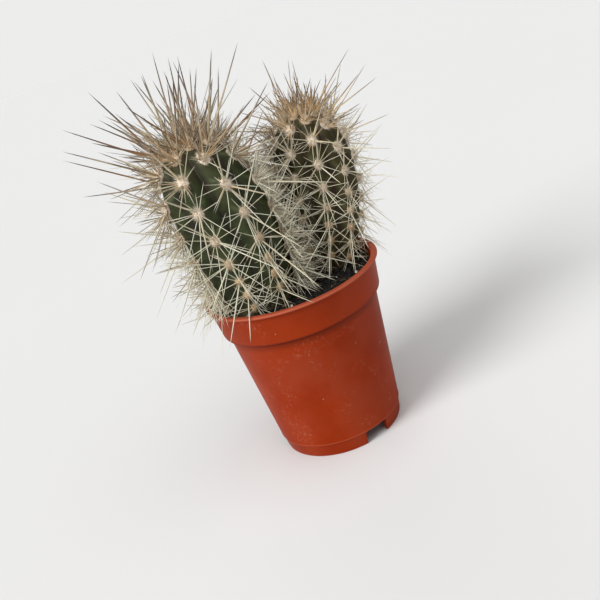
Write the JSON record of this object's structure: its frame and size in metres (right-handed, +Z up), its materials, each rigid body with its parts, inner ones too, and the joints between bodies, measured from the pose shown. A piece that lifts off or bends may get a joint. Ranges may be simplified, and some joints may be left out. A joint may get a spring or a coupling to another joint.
{
  "type": "potted cardon cactus",
  "caption": "Ribbed, spiny columnar cactus stems standing in dark soil in a small round terracotta-coloured plastic pot.",
  "frame": {"origin": "on the pot's axis, in the plane its foot ring stands on; the needles reach equally far to both sides of it", "axes": "+Z up; -Y is the side that faces the viewer, with the large stem at the left and in front; +X to the viewer's right"},
  "size_m": [0.0946, 0.0784, 0.128],
  "materials": {
    "pot": "semi-matte moulded plastic, terracotta orange, fine scratches and dust",
    "soil": "loose near-black peat with fibres and white perlite grains",
    "stem_large": "dark green waxy skin, off-white felt pads, cream to brown needles",
    "stem_small": "dark green waxy skin, off-white felt pads, cream to brown needles"
  },
  "bodies": {
    "root": {"pot": "pot", "soil": "soil", "stem_large": "stem_large", "stem_small": "stem_small"}
  },
  "joints": []
}
